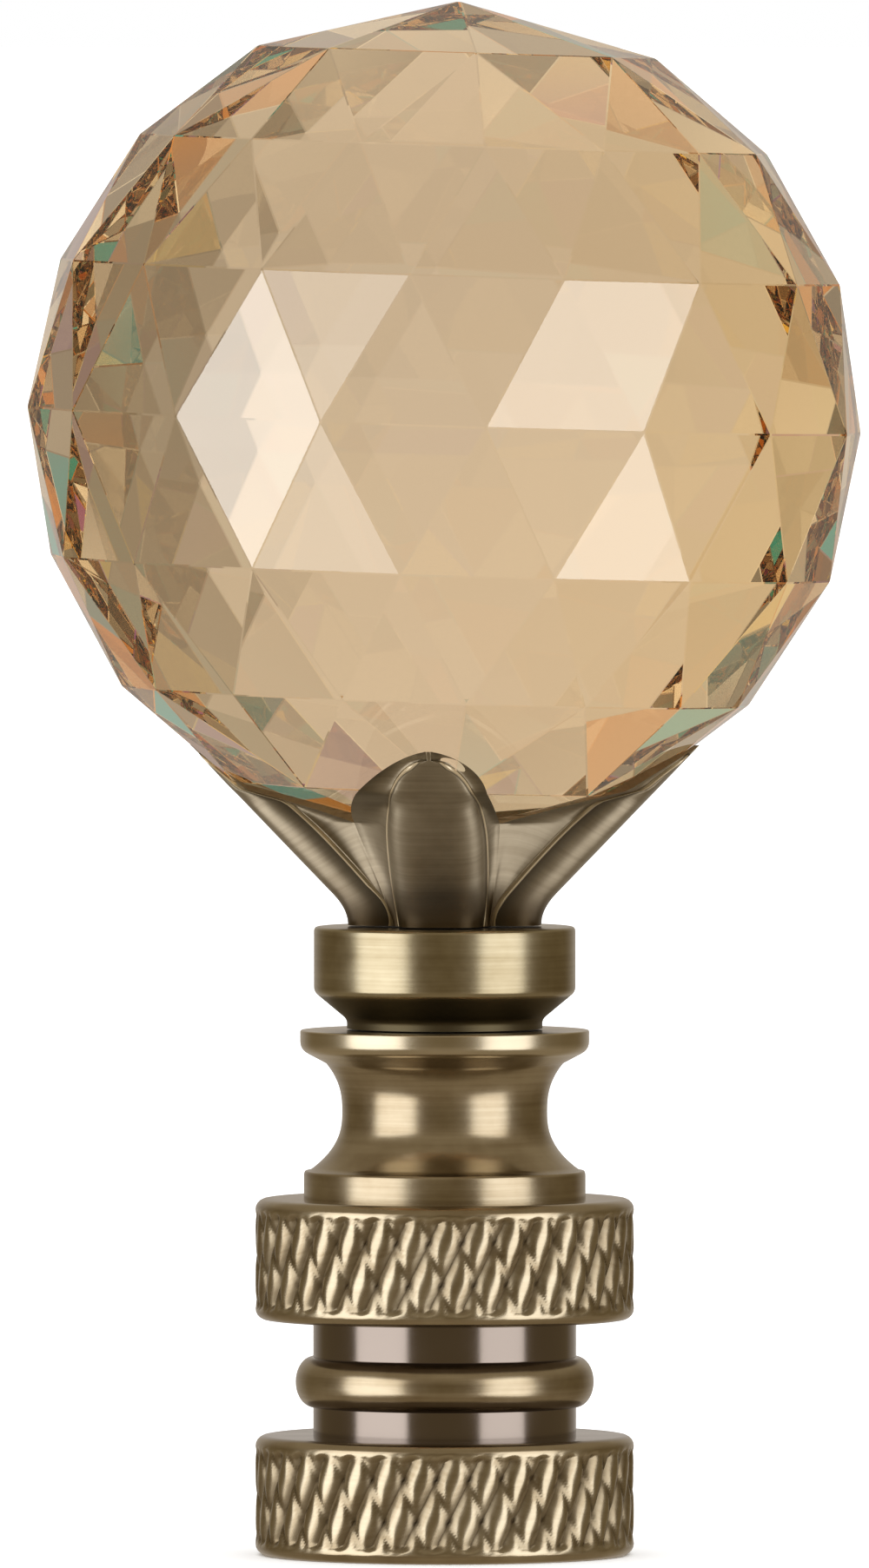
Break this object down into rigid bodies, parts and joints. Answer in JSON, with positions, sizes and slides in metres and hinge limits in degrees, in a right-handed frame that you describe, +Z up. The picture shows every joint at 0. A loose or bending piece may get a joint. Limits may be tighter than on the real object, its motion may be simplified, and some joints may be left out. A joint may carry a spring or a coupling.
{
  "type": "lamp shade finial",
  "caption": "Lamp shade finial: a faceted clear ball in a brass petal cup on a turned collar and a knurled, threaded brass base.",
  "frame": {"origin": "centre of the underside of the base, where the threaded hole opens", "axes": "+Z up along the finial's axis, from the threaded hole to the ball; -Y is the side that faces the picture's camera"},
  "size_m": [0.0302, 0.0302, 0.0564],
  "materials": {
    "base_brass": "antique brass, turned and knurled",
    "collar_brass": "antique brass, turned",
    "cup_brass": "antique brass, cast and darkened",
    "crystal": "clear champagne crystal, cut in flat facets"
  },
  "bodies": {
    "root": {"knurled_base": "base_brass", "collar": "collar_brass", "petal_cup": "cup_brass", "crystal_ball": "crystal"}
  },
  "joints": []
}
